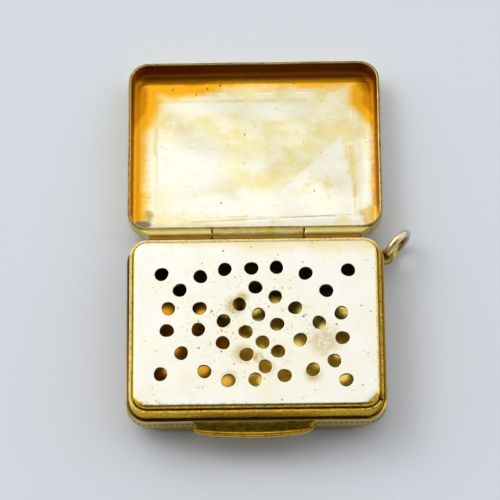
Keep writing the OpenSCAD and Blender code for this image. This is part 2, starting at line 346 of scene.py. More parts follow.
# Painted shade: the well's floor deepens to orange-brown towards the left.
well_left_shade = between(x + (clouds - 0.5) * 16, 3, -9)
spotted = between(grain(place, 2, 3), 0.56, 0.72)
well = coats(well_gold, (well_left_shade, deep_gold), (spotted * 0.75, marks_and_shade_brown))
colour = coats(
    olive_gold,
    (between(clouds, 0.42, 0.72) * 0.5, dull_gold),
    (thin * 0.5, thin_gold),
    # Painted shade: the wall darker towards its foot.
    (between(z + (clouds - 0.5) * 0.8, 3.9, 1.8) * 0.55, painted_foot_shade),
    # Painted shade: the wall and ledge darker along both sides.
    (shaded_sides * 0.6, painted_side_shade),
    (within, well),
    # Painted shade where the bezel stands on the ledge, less by the soldered corner.
    (bezel_foot_shade * (0.9 - 0.75 * solder), marks_and_shade_brown),
    # Painted shade: a near-black band on the ledge's left side.
    (left_ledge_shade * between(z, base_h - 0.9, base_h - 0.4) * 0.85, painted_shade_black),
    # Painted shade in the milled cuts.
    (cut * 0.8, marks_and_shade_brown),
    (pits(place, 1.1, 0.16, 0.35) * 0.7, marks_and_shade_brown),
)
scuffs = grain(place, 0.35, 3, (0.25, 0.25, 2.2))
dulled = 0.22 + 0.2 * scuffs + 0.15 * cut - 0.16 * within
burnish(shader, colour, dulled, scuffs * 0.3 - 0.2 * within * scuffs, 0.03)
marks = {"rubbed": rubbed, "inside": inside, "milled": milled}
make_piece("base", points, faces, "base", ["base_tray"], "gilt_outside", base_gilt, **marks)


# Bezel. A strip of gilt sheet bent round inside the wall and soldered there, standing above the ledge to
# guide the lid. Its ends meet in a slanted seam at the front right corner, and its top was filed by eye.
# Shade is painted low on its face by the ledge and on its right side, light on its left side, and small
# bright flecks as glints.
bezel_w, bezel_d, bezel_r = box_w - 2 * base_wall, box_d - 2 * base_wall, corner_r - base_wall
bezel_t, bezel_sunk, bezel_rise, bezel_soft = 0.38, 1.5, 2, 0.07
bezel_foot, bezel_top, bezel_inner = base_h - bezel_sunk, base_h + bezel_rise, bezel_r - bezel_t
filed_by, filed_every = 0.05, 1.7
seam_w, seam_spread, seam_step, step_spread = 0.2, 24, 0.12, 5
seam_slant, seam_turn = math.radians(45), math.radians(315)
seam_x, seam_y, seam_z = bezel_w / 2 - bezel_r, bezel_r - bezel_d / 2, base_h + bezel_rise / 2
bezel_gold = (1.0, 0.66, 0.04, 1)
painted_glint_gold = (1.0, 0.82, 0.22, 1)
right_side_shade = (0.46, 0.29, 0.05, 1)
left_side_light = (0.80, 0.66, 0.28, 1)
back_pale = (0.84, 0.72, 0.38, 1)


def least(value, other):
    """The smaller of two values."""
    return value.sum("MINIMUM", value, other)


bezel_profile = arc(bezel_inner + bezel_soft, bezel_foot + bezel_soft, bezel_soft, 180, 270, 2)
bezel_profile += arc(bezel_r - bezel_soft, bezel_foot + bezel_soft, bezel_soft, -90, 0, 2)
bezel_profile += [(bezel_r, base_h + bezel_rise * i / 8) for i in range(8)]
bezel_profile += arc(bezel_r - bezel_soft, bezel_top - bezel_soft, bezel_soft, 0, 90, 4)
bezel_profile += arc(bezel_inner + bezel_soft, bezel_top - bezel_soft, bezel_soft, 90, 180, 4)
stops = walk_round(bezel_w, bezel_d, bezel_r, long_cuts=96, short_cuts=70, corner_cuts=12)
seam = next(i for i, stop in enumerate(stops) if math.isclose(stop[2], seam_turn))
stops = stops[seam:] + stops[: seam + 1]
m, n = len(bezel_profile), len(stops)
points = []
for out, z in bezel_profile:
    for i, (x, y, t) in enumerate(stops):
        p = set_out(x, y, t, out, z)
        from_end = min(i, n - 1 - i)
        if from_end < seam_spread:
            lean = (z - seam_z) * math.tan(seam_slant) * (1 - from_end / seam_spread)
            gap = {0: seam_w / 2, n - 1: -seam_w / 2}.get(i, 0)
            along = bezel_r * ((t - seam_turn + math.pi) % (2 * math.pi) - math.pi)
            along += x - seam_x + y - seam_y + gap + lean
            turn = max(-math.pi / 4, min(math.pi / 4, along / bezel_r))
            past, t = along - turn * bezel_r, turn + seam_turn
            p = set_out(seam_x - past * math.sin(t), seam_y + past * math.cos(t), t, out, z)
        if z > base_h:
            height = (z - base_h) / bezel_rise
            p.z += filed_by * noise.noise(Vector((p.x, p.y, 7)) / filed_every) * height
            p.z -= seam_step * max(0, 1 - (n - 1 - i) / step_spread) * height
        points.append(p)
faces = skin(m, n, shut_rows=True, shut_across=False)
faces += [tuple(k * n for k in range(m)), tuple(k * n + n - 1 for k in range(m))[::-1]]
rubbed = [1.0 if z > bezel_top - 0.1 else 0.0 for _, z in bezel_profile for _ in stops]
at_seam = [1.0 if i in (0, n - 1) else 0.0 for _ in bezel_profile for i in range(n)]
points = hand_worked(points, amount=0.025, size=3, seed=11)

bezel_gilt, shader, place = new_finish("bezel_gilt")
x, y, z = parts_of(place)
clouds = grain(place, 0.7, 5)
filed = grain(place, 0.22, 3, (0.3, 0.3, 1.4))
mottled = grain(place, 0.32, 5)
thin = between(marked(place, "rubbed") * 0.6 + clouds, 1.0, 1.35)
at_back = between(y + (clouds - 0.5) * 0.8, half_d - 1.5, half_d - 0.8)
specks = pits(place, 0.9, 0.15, 0.4) + pits(place, 0.4, 0.1, 0.3)
solder = between(x - y + (clouds - 0.5) * 0.6, solder_edge - 0.7, solder_edge + 0.3)
shade_by_ledge = between(z + 0.3 * (clouds - 0.5), base_h + 0.3, base_h + 0.05)
colour = coats(
    bezel_gold,
    (between(clouds + 0.5 * filed, 0.66, 0.9) * 0.45, dull_gold),
    (between(clouds - 0.4 * filed, 0.25, 0.05), deep_gold),
    (thin * 0.3, thin_gold),
    # Painted light: the right side of the bezel is painted darker as shade, the left side paler as light.
    (between(x, half_w - 1.3, half_w - 0.9) * 0.8, right_side_shade),
    (between(x, 1.3 - half_w, 0.9 - half_w) * 0.8, left_side_light),
    (at_back * 0.9, back_pale),
    (least(specks, 1.0) * 0.75, marks_and_shade_brown),
    # Painted shade low on the bezel's face, where it stands on the ledge, less by the solder.
    (shade_by_ledge * (0.8 - 0.7 * solder), marks_and_shade_brown),
    (solder * between(filed, 0.5, 0.65) * 0.6, marks_and_shade_brown),
    (between(marked(place, "seam"), 0.3, 0.7), marks_and_shade_brown),
    (between(mottled, 0.54, 0.68) * 0.55, marks_and_shade_brown),
    # Painted glints: small bright flecks among the dark mottling.
    (between(mottled, 0.44, 0.32) * 0.6, painted_glint_gold),
)
burnish(shader, colour, 0.42 + 0.25 * filed, filed + mottled, 0.02)
marks = {"rubbed": rubbed, "seam": at_seam}
make_piece("bezel", points, faces, "base", ["base_bezel"], "gilt_edge", bezel_gilt, **marks)


# Grille bearer. A narrow gilt strip soldered inside the bezel, on which the grille's flange stands. Only its
# inner edge can be made out through the holes, so it keeps the shape that it has in the CAD model.
thick_gold = (0.90, 0.56, 0.035, 1)


def dress(node, finish):
    """Gives a CAD node, whose shape is right as it is, its finish."""
    piece = frame["nodes"][node]
    piece.data.materials.clear()
    piece.data.materials.append(finish)


inner_gilt, shader, place = new_finish("inner_gilt")
clouds = grain(place, 1.6, 4)
colour = coats(thick_gold, (between(clouds, 0.4, 0.7) * 0.6, dull_gold))
rubs = grain(place, 0.2, 3, (0.4, 0.4, 1))
burnish(shader, colour, 0.28 + 0.2 * rubs, rubs, 0.01)
dress("grille_bearer", inner_gilt)


# Sponge. A strip of dried natural sponge at the back of the well, which once held the aromatic vinegar. It
# has shrunk and darkened, and is full of pores.
sponge_low, sponge_high = (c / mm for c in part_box("sponge"))
sponge_half = (sponge_high - sponge_low) / 2
sponge_cuts, sponge_round = (110, 20, 14), 1.0
big_pore, small_pore, lump = 0.85, 0.4, 1.6
sponge_umber = (0.10, 0.062, 0.028, 1)
sponge_tan = (0.24, 0.15, 0.065, 1)
pore_black = (0.03, 0.018, 0.008, 1)
points, faces, known = [], [], {}


def sponge_point(i, j, k):
    """The index of a point on the sponge's skin, with its corners drawn in and its pores sunk."""
    if (i, j, k) not in known:
        u = [2 * c / cuts - 1 for c, cuts in zip((i, j, k), sponge_cuts)]
        p = Vector([c * h for c, h in zip(u, sponge_half)])
        inner = Vector([max(sponge_round - h, min(h - sponge_round, c)) for c, h in zip(p, sponge_half)])
        away = p - inner
        if away.length > sponge_round:
            p = inner + away.normalized() * sponge_round
        out = away.normalized() if away.length > 0 else Vector((0, 0, 1))
        big = noise.voronoi((p + Vector((40, 0, 0))) / big_pore)[0][0]
        small = noise.voronoi((p + Vector((0, 40, 0))) / small_pore)[0][0]
        sunk = 0.42 * max(0, 0.5 - big) + 0.22 * max(0, 0.5 - small) + 0.12 * (1 + noise.noise(p / lump))
        known[i, j, k] = len(points)
        points.append(tucked((sponge_low + sponge_high) / 2 + p - out * sunk))
    return known[i, j, k]


for axis in range(3):
    b, c = (axis + 1) % 3, (axis + 2) % 3
    for end in (0, sponge_cuts[axis]):
        for s in range(sponge_cuts[b]):
            for t in range(sponge_cuts[c]):
                corner = []
                for ds, dt in ((0, 0), (1, 0), (1, 1), (0, 1)):
                    at = [0, 0, 0]
                    at[axis], at[b], at[c] = end, s + ds, t + dt
                    corner.append(sponge_point(*at))
                faces.append(tuple(corner))

sponge_brown, shader, place = new_finish("sponge_brown", 0.0)
shader.inputs["Specular IOR Level"].default_value = 0.2
clouds = grain(place, 1.2, 5)
fibre = grain(place, 0.18, 4)
tan, pores = between(clouds, 0.35, 0.7), between(fibre, 0.55, 0.35)
colour = coats(sponge_umber, (tan, sponge_tan), (pores * 0.7, pore_black))
burnish(shader, colour, 0.8 + 0.15 * fibre, fibre, 0.08)
sponge = make_piece("sponge_strip", points, faces, "base", ["sponge"], "sponge", sponge_brown, sharp=80)


# Grille. A cover of silver sheet with its edges turned down, pushed inside the bezel. Its 39 holes were
# pricked out by eye and drilled, and none is quite round. The gilding on top is worn almost white, and fine
# dark pits and a few brown smudges are left round the holes. A gold band where the plate rolls off at the
# back is a painted reflection, and bright flecks on the turned edge are painted glints.
grille_gap = 0.15
grille_w, grille_d = bezel_w - 2 * (bezel_t + grille_gap), bezel_d - 2 * (bezel_t + grille_gap)
grille_r = bezel_r - bezel_t - grille_gap
grille_top, grille_rim, grille_edge, grille_plate, grille_flange = 7.3, 5.6, 0.4, 0.4, 0.35
front_fold, side_fold, back_fold, fold_cuts, flange_soft = 0.42, 0.3, 0.35, 6, 0.06
back_roll, corner_wear, dent_deep, dent_wide = 0.05, 0.24, 0.025, 4
hole_r, hole_soft, hole_collar, hole_cuts = 0.925, 0.02, 0.05, 32
no_hole, plate_apart, meet_within = -1, 0.55, 1e-7
hole_plan = [
    (-12.3, 7), (12.2, 7.3), (-12.4, -7.1), (11.7, -8.2),
    (-7.2, 6.6), (-4, 7.6), (-0.5, 7.7), (2.8, 7.8), (6.6, 6.9), (9.3, 4.4),
    (11.2, 1.2), (11.3, -2.3), (10.2, -5.5), (7.4, -6.7), (3.7, -7.5), (-0.1, -8),
    (-3.6, -8.1), (-6.7, -6.8), (-9.7, -4.2), (-11.6, -1), (-11.4, 2.1), (-9.9, 4.7),
    (0, 5), (2.6, 3.6), (5.2, 2), (8.3, -0.1), (5.8, -2.5), (2.9, -4.1),
    (1.2, -6.2), (-1.2, -4.5), (-4.3, -2.8), (-7.5, -0.9), (-7.3, 2.1), (-2.1, 2.6),
    (-4.2, 0.3), (-1.3, -1.3), (0.4, 1.1), (2.8, -0.3), (0.9, -2.8),
]
worn_white = (0.97, 0.95, 0.86, 1)
worn_cream = (0.95, 0.89, 0.64, 1)
smudge_brown = (0.56, 0.40, 0.07, 1)
pit_brown = (0.13, 0.09, 0.02, 1)
flank_gold = (0.98, 0.64, 0.04, 1)
flank_glint = (1.0, 0.85, 0.32, 1)
flank_pale = (0.93, 0.86, 0.60, 1)
smudges = [
    (-2.7, 2.4, 1.9, 1.0), (-1.7, 3.6, 1.2, 0.9), (-1.7, -4.3, 1.9, 0.9), (0.2, -4.9, 1.2, 0.9),
    (7.4, -7.3, 1.6, 1.0), (9.0, -2.6, 3.2, 0.6), (1.6, -6.4, 1.4, 0.6), (-3.4, -7.6, 1.5, 0.6),
]


def hole_reach(number, turn, radius):
    """The radius of a hand-drilled hole at one bearing: never quite round."""
    return radius + 0.035 * math.sin(2 * turn + number * 2.4) + 0.022 * math.sin(3 * turn + number * 4.1)


def plate_sag(x, y):
    """How far the plate's top lies below its highest level: it rolls off towards the hinge and is worn off at
    the front right corner, with shallow dents between."""
    back = max(0, min(1, (y - 9.0) / 2.3))
    corner = max(0, min(1, (x - y - 25.1) / 1.4))
    dents = dent_deep * (1 + noise.noise(Vector((x, y, 2)) / dent_wide))
    return back_roll * back * back + corner_wear * corner * corner + dents


def most(value, other):
    """The greater of two values, so that a mask is full where either of two is."""
    return value.sum("MAXIMUM", value, other)


def span(across, along):
    """The distance from a spot, from the distances across and along."""
    return across.sum("SQRT", across * across + along * along)


edge_profile = [(grille_r - front_fold - 0.1, grille_top)]
edge_profile += arc(grille_r - grille_edge, grille_top - grille_edge, grille_edge, 90, 0, fold_cuts)
edge_profile += [(grille_r, grille_top - 0.8), (grille_r, grille_rim + 0.3)]
edge_profile += arc(grille_r - flange_soft, grille_rim + flange_soft, flange_soft, 0, -90, 2)
flange_in = grille_r - grille_flange
edge_profile += arc(flange_in + flange_soft, grille_rim + flange_soft, flange_soft, -90, -180, 2)
edge_profile += [(flange_in, grille_top - grille_plate - 0.12)]
edge_profile += [(grille_r - grille_edge, grille_top - grille_plate)]
stops = walk_round(grille_w, grille_d, grille_r, long_cuts=80, short_cuts=58, corner_cuts=10)
n = len(stops)
points, faces = sweep(edge_profile, stops)
edge = [min(1.0, k / fold_cuts) for k in range(len(edge_profile)) for _ in stops]
under_ring = (len(edge_profile) - 1) * n
for i, (x, y, t) in enumerate(stops):
    fold = side_fold * math.cos(t) ** 2 + (back_fold if math.sin(t) > 0 else front_fold) * math.sin(t) ** 2
    for k, (out, z) in enumerate(arc(grille_r - fold, grille_top - fold, fold, 90, 0, fold_cuts)):
        burr = 0.012 * k * noise.noise(set_out(x, y, t, 1, 3) / 0.7)
        points[(k + 1) * n + i] = set_out(x, y, t, out - abs(burr) * 0.6, z + burr * 0.5)

plan = [p.xy for p in points[:n]]
ties = [(i, (i + 1) % n) for i in range(n)]
owner = [no_hole] * n
for number, (hx, hy) in enumerate(hole_plan):
    first = len(plan)
    for i in range(hole_cuts):
        turn = 2 * math.pi * i / hole_cuts
        reach = hole_reach(number, turn, hole_r + hole_soft + hole_collar)
        plan.append(set_out(hx, hy, turn, reach, 0).xy)
        ties.append((first + i, first + (i + 1) % hole_cuts))
        owner.append(number)
for i in range(int(grille_w / plate_apart) + 1):
    for j in range(int(grille_d / plate_apart) + 1):
        x = (i + 0.5 * (j % 2)) * plate_apart - grille_w / 2
        y = j * plate_apart - grille_d / 2
        clear_of_holes = all((x - hx) ** 2 + (y - hy) ** 2 > (hole_r + 0.3) ** 2 for hx, hy in hole_plan)
        past_x, past_y = abs(x) - grille_w / 2 + grille_r, abs(y) - grille_d / 2 + grille_r
        inset = Vector((max(0, past_x), max(0, past_y))).length
        if clear_of_holes and inset < grille_r - front_fold - 0.3:
            plan.append(Vector((x, y)))
            owner.append(no_hole)
found, _, triangles, came_from, _, _ = delaunay_2d_cdt(plan, ties, [], 0, meet_within)
source = [c[0] for c in came_from]
top_at, under_at = {}, {}
for i, p in zip(source, found):
    if i < n:
        top_at[i], under_at[i] = i, under_ring + i
    else:
        top_at[i] = len(points)
        points.append(Vector((p.x, p.y, grille_top)))
        under_at[i] = len(points)
        points.append(Vector((p.x, p.y, grille_top - grille_plate)))
        edge += [0.0, 0.0]
for triangle in triangles:
    t = [source[i] for i in triangle]
    if owner[t[0]] != no_hole and owner[t[0]] == owner[t[1]] == owner[t[2]]:
        continue
    faces.append(tuple(top_at[i] for i in t))
    faces.append(tuple(under_at[i] for i in reversed(t)))
hole_wall = [(1, 0), (0.3, 0.01), (0, 0.03), (0, 0.12), (0, grille_plate - 0.08), (1, grille_plate)]
for number, (hx, hy) in enumerate(hole_plan):
    first = n + number * hole_cuts
    rings = [[top_at[first + i] for i in range(hole_cuts)]]
    for share, drop in hole_wall:
        ring = []
        for i in range(hole_cuts):
            turn = 2 * math.pi * i / hole_cuts
            reach = hole_reach(number, turn, hole_r + hole_soft * share)
            ring.append(len(points))
            points.append(set_out(hx, hy, turn, reach, grille_top - drop))
            edge.append(0.8 if drop > 0.02 else 0.0)
        rings.append(ring)
    rings.append([under_at[first + i] for i in range(hole_cuts)])
    for upper, lower in zip(rings, rings[1:]):
        for i in range(hole_cuts):
            j = (i + 1) % hole_cuts
            faces.append((upper[i], upper[j], lower[j], lower[i]))
for p in points:
    if p.z > grille_top - grille_plate - 0.01:
        p.z -= plate_sag(p.x, p.y)

grille_gilt, shader, place = new_finish("grille_gilt")
x, y, z = parts_of(place)
clouds = grain(place, 4.5, 4)
fine = grain(place, 0.8, 4)
ragged = grain(place, 0.4, 3)
mottled = grain(place, 0.28, 5)
stain = 0.0 * x
for smudge_x, smudge_y, reach, strength in smudges:
    away = span(x - smudge_x, y - smudge_y) + (fine - 0.5) * 1.8
    stain = stain + between(away, reach, 0.2 * reach) * strength
handled = between(span(x - 2, (y + 2) * 1.4) + (clouds - 0.5) * 9, 12, 4)
turned = marked(place, "edge") + (ragged - 0.5) * 0.4
pale_fold = most(between(abs(x), 15.2, 15.7), between(y, 8.5, 11))
broken = between(x - y + (ragged - 0.5) * 0.6, 25.5, 25.8)
broken = most(broken, between((ragged - 0.5) * 1.4 - x - y, 25.7, 26.1))
front_fleck = between(y + 0.03 * x + (ragged - 0.5) * 1.6, -11.0, -11.7) * between(fine, 0.4, 0.6)
busy = between(span(x + 1, (y + 1) * 1.5) + (clouds - 0.5) * 9, 13, 6)
dust = pits(place, 0.33, 0.1, 0.7) * busy * between(grain(place, 1.9, 3), 0.44, 0.58)
specks = pits(place, 0.5, 0.13, 0.2) * between(clouds, 0.42, 0.6) + pits(place, 1.5, 0.2, 0.25) + dust * 0.9
flank = coats(
    flank_gold,
    (between(ragged, 0.42, 0.66) * 0.7, dull_gold),
    (between(mottled, 0.54, 0.68) * 0.6, marks_and_shade_brown),
    # Painted glints: bright flecks on the turned-down edge.
    (between(mottled, 0.45, 0.33) * 0.7, flank_glint),
    (between(y, 10.0, 11.3) * 0.9, flank_pale),
)
colour = coats(
    worn_white,
    (between(clouds * 0.7 + fine * 0.3, 0.38, 0.68) * 0.7, worn_cream),
    (handled * between(fine, 0.3, 0.6) * 0.6, worn_cream),
    (least(stain * between(fine, 0.2, 0.6), 0.8), smudge_brown),
    # Painted reflection: a gold band where the plate rolls off towards the hinge.
    (between(y + 0.05 * x + (clouds - 0.5) * 2.5, 9.8, 11.8) * 0.75, thin_gold),
    (front_fleck * 0.6, dull_gold),
    (most(between(turned, 0.22, 0.4), broken), flank),
    (between(turned, 0.3, 0.9) * pale_fold * (1 - broken) * 0.9, thin_gold),
    (between(z, grille_top - 0.4, grille_top - 0.7), flank),
    (least(specks, 1.0) * 0.85, pit_brown),
)
hairs = grain(place, 0.12, 3, (0.35, 1, 1))
burnish(shader, colour, 0.24 + 0.12 * fine, 0.4 * fine + 0.3 * hairs - specks, 0.014)
make_piece("pierced_grille", points, faces, "base", ["grille"], "gilt_grille", grille_gilt, edge=edge)


# Thumbpiece. A strip with a hollowed top and a rolled front lip, soldered along the middle of the front at
# rim level for opening the lid. Its gilding is deep in the hollow and rubbed along the lip.
thumb_len, thumb_shift, thumb_reach, thumb_fall = 16, -0.3, 2.1, 0.7
thumb_top, thumb_cuts = base_h - 0.08, 120
thumb_arc = ((thumb_len / 2) ** 2 + thumb_fall**2) / (2 * thumb_fall)
lip_out, lip_drop = 0.78, -0.7
thumb_section = [
    (0.0, 0.0), (0.06, -0.02), (0.18, -0.09), (0.30, -0.18), (0.42, -0.28), (0.54, -0.37),
    (0.64, -0.44), (0.71, -0.47), (0.76, -0.44), (0.80, -0.37), (0.85, -0.30), (0.90, -0.28),
    (0.95, -0.32), (0.985, -0.42), (1.0, -0.55), (0.985, -0.68), (0.94, -0.79), (0.86, -0.86),
    (0.72, -0.88), (0.5, -0.89), (0.25, -0.9), (0.0, -0.9),
]
lip_gold = (0.66, 0.48, 0.12, 1)
points, lip = [], []
for i in range(thumb_cuts + 1):
    u = -math.cos(math.pi * i / thumb_cuts)
    x = u * thumb_len / 2
    reach = thumb_reach - (thumb_arc - math.sqrt(thumb_arc**2 - x * x))
    blunt, ease = (28, 0.4) if u < 0 else (11, 0.5)
    reach *= max(0.02, 1 - abs(u) ** blunt) ** ease
    for out, drop in thumb_section:
        points.append(Vector((thumb_shift + x, -half_d - reach * out, thumb_top + drop)))
        lip.append(1.0 if out > lip_out and drop > lip_drop else 0.0)
m = len(thumb_section)
faces = skin(thumb_cuts + 1, m)
faces += [tuple(range(m)), tuple(thumb_cuts * m + k for k in range(m))[::-1]]
points = hand_worked(points, amount=0.03, size=2.2, seed=23)

thumb_gilt, shader, place = new_finish("thumb_gilt")
clouds = grain(place, 1.8, 4)
thin = between(marked(place, "lip") * 0.8 + (clouds - 0.5) * 1.5, 0.3, 0.9)
colour = coats(
    thick_gold,
    (between(clouds, 0.4, 0.7) * 0.45, dull_gold),
    (thin * 0.4, lip_gold),
    (between(grain(place, 0.7, 4), 0.46, 0.66) * 0.75, dull_gold),
    (pits(place, 0.8, 0.15, 0.4) * 0.7, marks_and_shade_brown),
)
drawn = grain(place, 0.16, 3, (0.12, 1, 1))
burnish(shader, colour, 0.2 + 0.18 * drawn, drawn, 0.012)
make_piece("thumb_lip", points, faces, "base", ["thumbpiece"], "gilt_edge", thumb_gilt, lip=lip)


# Hinge of the base. The middle tube is soldered to the base along a filed bearer, and a drawn wire runs
# through all three tubes as the pin. The tube's gilding is worn through to dull silver. Its back is painted
# paler as a highlight, and its front and ends darker as shade.
axis_y, axis_z, tube_r, bore_r = half_d + 1, base_h, 0.9, 0.43
mid_left, mid_right, tube_gap = -5.7, 6.5, 0.1
tube_turns, end_soft, end_mid = 40, 0.1, 0.03
tube_ochre = (0.56, 0.40, 0.055, 1)
tube_grey = (0.49, 0.41, 0.17, 1)
tube_highlight = (0.68, 0.57, 0.22, 1)
tube_shade = (0.48, 0.27, 0.02, 1)
tube_fleck = (0.24, 0.16, 0.03, 1)
wire_dark = (0.42, 0.42, 0.41, 1)
wire_bright = (0.62, 0.62, 0.60, 1)


def hinge_tube(left, right, cuts):
    """Points and faces of a tube along the hinge's axis. Each end is a number, or a function of the distance
    behind the axis where the end is filed to a slope."""
    end = [(bore_r, 0.0), (tube_r - end_soft, 0.0), (tube_r - end_mid, end_mid), (tube_r, end_soft)]
    rows = [(radius, 0, step) for radius, step in end]
    rows += [(tube_r, i / cuts, 0.0) for i in range(1, cuts)]
    rows += [(radius, 1, -step) for radius, step in reversed(end)]
    points = []
    for radius, share, step in rows:
        for i in range(tube_turns):
            t = 2 * math.pi * i / tube_turns
            y = radius * math.cos(t)
            x0 = left(y) if callable(left) else left
            x1 = right(y) if callable(right) else right
            points.append(Vector((x0 + (x1 - x0) * share + step, axis_y + y, axis_z + radius * math.sin(t))))
    return points, skin(len(rows), tube_turns, shut_rows=True)


points, faces = hinge_tube(mid_left, mid_right, 60)
points = hand_worked(points, amount=0.035, size=1.3, seed=31)
tube_silver, shader, place = new_finish("tube_silver")
clouds = grain(place, 1.4, 5)
fine = grain(place, 0.25, 4, (0.5, 1, 1))
x, y, z = parts_of(place)
shaded_front = between(y + (clouds - 0.5) * 0.5, axis_y - 0.25, axis_y - 0.5)
from_end = 0.5 * (mid_right - mid_left) - abs(x - 0.5 * (mid_left + mid_right))
colour = coats(
    tube_ochre,
    (between(clouds, 0.35, 0.7), tube_grey),
    # Painted highlight on the tube's back and painted shade on its front.
    ((1 - shaded_front) * between(clouds, 0.35, 0.6) * 0.6, tube_highlight),
    (shaded_front * 0.55, tube_shade),
    (between(fine, 0.55, 0.72) * 0.6, tube_fleck),
    (pits(place, 0.5, 0.14, 0.4) * 0.7, marks_and_shade_brown),
    # Painted shade at the tube's ends, in the gaps by the lid's tubes.
    (between(from_end, 0.22, 0.1) * 0.9, marks_and_shade_brown),
)
burnish(shader, colour, 0.36 + 0.25 * fine, fine, 0.04)
make_piece("hinge_tube_base", points, faces, "base", ["base_knuckle"], "worn_silver", tube_silver)
dress("base_hinge_bearer", inner_gilt)

pin_wire, shader, place = new_finish("pin_wire")
drawn = grain(place, 0.12, 3, (0.05, 1, 1))
burnish(shader, coats(wire_dark, (drawn, wire_bright)), 0.25 + 0.2 * drawn, drawn, 0.006)
dress("hinge_pin", pin_wire)


# Lid. A second pressed tray, gilt inside, which closes over the bezel. Thrown back, it shows its inside: a
# floor polished pale, with whiter patches painted on as reflections, gold, orange and red-brown towards the
# walls, partly gilding left there and partly painted reflection and shade, brown painted shade in the nook
# along the walls, brown on the far wall and in the far corners, a grey painted reflection in the near left
# corner, and the faint back of the border line cut on its outside.
lid_wall, lid_top, lid_h, lid_edge, close_gap = 0.35, 0.4, 3.25, 1.2, 0.05
lid_in, lid_soft = lid_edge - lid_wall, 0.08
lid_long, lid_short, lid_corner = 90, 66, 10
nook_reach, nook_edge = 3.2, 0.8
lid_turn = next(j for j in frame["joints"] if j["name"] == "lid_hinge")["range_deg"][1]
to_axis = Matrix.Translation((0, axis_y, axis_z))
thrown_back = to_axis @ Matrix.Rotation(math.radians(-lid_turn), 4, "X") @ to_axis.inverted()
lid_stands = Matrix.Translation((0, 0, base_h + close_gap + lid_h)) @ Matrix.Diagonal((1, 1, -1, 1))
border_x, border_y, border_mid, border_end = 13.3, 9.6, 27.2, 0.15
lid_pale = (0.96, 0.90, 0.64, 1)
lid_khaki = (0.88, 0.76, 0.34, 1)
reflection_white = (0.97, 0.94, 0.80, 1)
lid_gold = (0.96, 0.62, 0.14, 1)
lid_orange = (0.93, 0.43, 0.012, 1)
wall_red_brown = (0.60, 0.20, 0.003, 1)
lid_brown = (0.38, 0.125, 0.003, 1)
wall_brown = (0.36, 0.13, 0.002, 1)
grey_corner_reflection = (0.20, 0.18, 0.14, 1)
corner_gold = (0.74, 0.42, 0.05, 1)
fleck_brown = (0.40, 0.26, 0.04, 1)
speck_brown = (0.22, 0.14, 0.05, 1)
line_brown = (0.62, 0.45, 0.10, 1)
line_gold = (0.85, 0.52, 0.06, 1)
rim_olive = (0.27, 0.20, 0.055, 1)
# Painted reflections on the lid's floor: each spot's middle x and y, its width and depth, and its strength.
reflection_spots = [
    (-9.4, 25, 6.5, 5.6, 1.0), (-2, 19.6, 12, 2.4, 1.0), (-6.5, 34.6, 5.5, 1.5, 0.8),
    (0.2, 25.4, 1.8, 1.2, 0.8), (15, 23, 1.2, 5, 0.8), (3, 33.8, 5.5, 1.6, 0.7),
]

lid_profile = arc(corner_r - lid_edge, lid_edge, lid_edge, -90, 0, 10)
lid_profile += [(corner_r, lid_edge + (lid_h - lid_soft - lid_edge) * i / 6) for i in range(1, 6)]
rim_from = len(lid_profile)
lid_profile += arc(corner_r - lid_soft, lid_h - lid_soft, lid_soft, 0, 90, rim_cuts)
lid_profile += arc(corner_r - lid_wall + lid_soft, lid_h - lid_soft, lid_soft, 90, 180, rim_cuts)
rim_to = len(lid_profile)
lid_profile += [(corner_r - lid_wall, lid_h - (lid_h - lid_top - lid_in) * i / 6) for i in range(1, 6)]
lid_profile += arc(corner_r - lid_wall - lid_in, lid_top + lid_in, lid_in, 0, -90, 8)
points, faces, stops = pressed_tray(box_w, box_d, corner_r, lid_profile, lid_long, lid_short, lid_corner)
n = len(stops)
floor_from = len(points) - (lid_long + 1) * (lid_short + 1)
on_rim = {k: 1.0 if k <= rim_from + rim_cuts else 0.25 for k in range(rim_from, rim_to)}
rubbed, inside, nook = [], [], []
for i, p in enumerate(points):
    row = i // n if i < len(lid_profile) * n else -1
    rubbed.append(on_rim.get(row, 0.0))
    inside.append(1.0 if row >= rim_to - 2 or i >= floor_from else 0.0)
    from_wall = min(half_w - lid_wall - abs(p.x), half_d - lid_wall - abs(p.y))
    nook.append(max(0.0, 1 - from_wall / nook_reach) if inside[-1] else 0.0)
points = hand_worked(points, amount=0.03, size=5, seed=43)
for i, p in enumerate(points):
    if inside[i] and nook[i] <= nook_edge:
        calm = 1 - nook[i] / nook_edge
        p.z += calm * (0.014 * noise.noise(p / 6.5 + Vector((5, 9, 0))) + 0.002 * noise.noise(p / 2.4))
points = [thrown_back @ lid_stands @ p for p in points]

lid_gilt, shader, place = new_finish("lid_gilt")
x, y, z = parts_of(place)
clouds = grain(place, 6, 4)
patches = grain(place, 2.6, 5)
fine = grain(place, 0.9, 4)
in_nook = marked(place, "nook")


def reflection_spot(at_x, at_y, wide, deep):
    """A soft-edged white spot on the lid's floor: a painted reflection."""
    return between(span((x - at_x) / wide, (y - at_y) / deep) + (patches - 0.5) * 1.6, 1.25, 0.45)


def stroke(from_x, from_y, to_x, to_y, width):
    """A thin, uneven line on the lid's floor."""
    long_x, long_y = to_x - from_x, to_y - from_y
    share = ((x - from_x) * long_x + (y - from_y) * long_y) / (long_x**2 + long_y**2)
    share = most(least(share, 1.0), 0.0)
    away = span(x - from_x - share * long_x, y - from_y - share * long_y) + (fine - 0.5) * 0.25
    return between(away, width, 0.2 * width) * between(patches + 0.5 * fine, 0.55, 0.85)


streaks = grain(place, 1.1, 4, (0.25, 1, 1))
rubs = grain(place, 0.6, 4, (0.5, 1, 1))
rim_flecks = grain(place, 0.6, 5)
scuffs = grain(place, 0.3, 3, (0.3, 1, 1))
rim = marked(place, "rubbed")
within = between(marked(place, "inside"), 0.3, 0.7)
ridge = (fine - 0.5) * 0.5
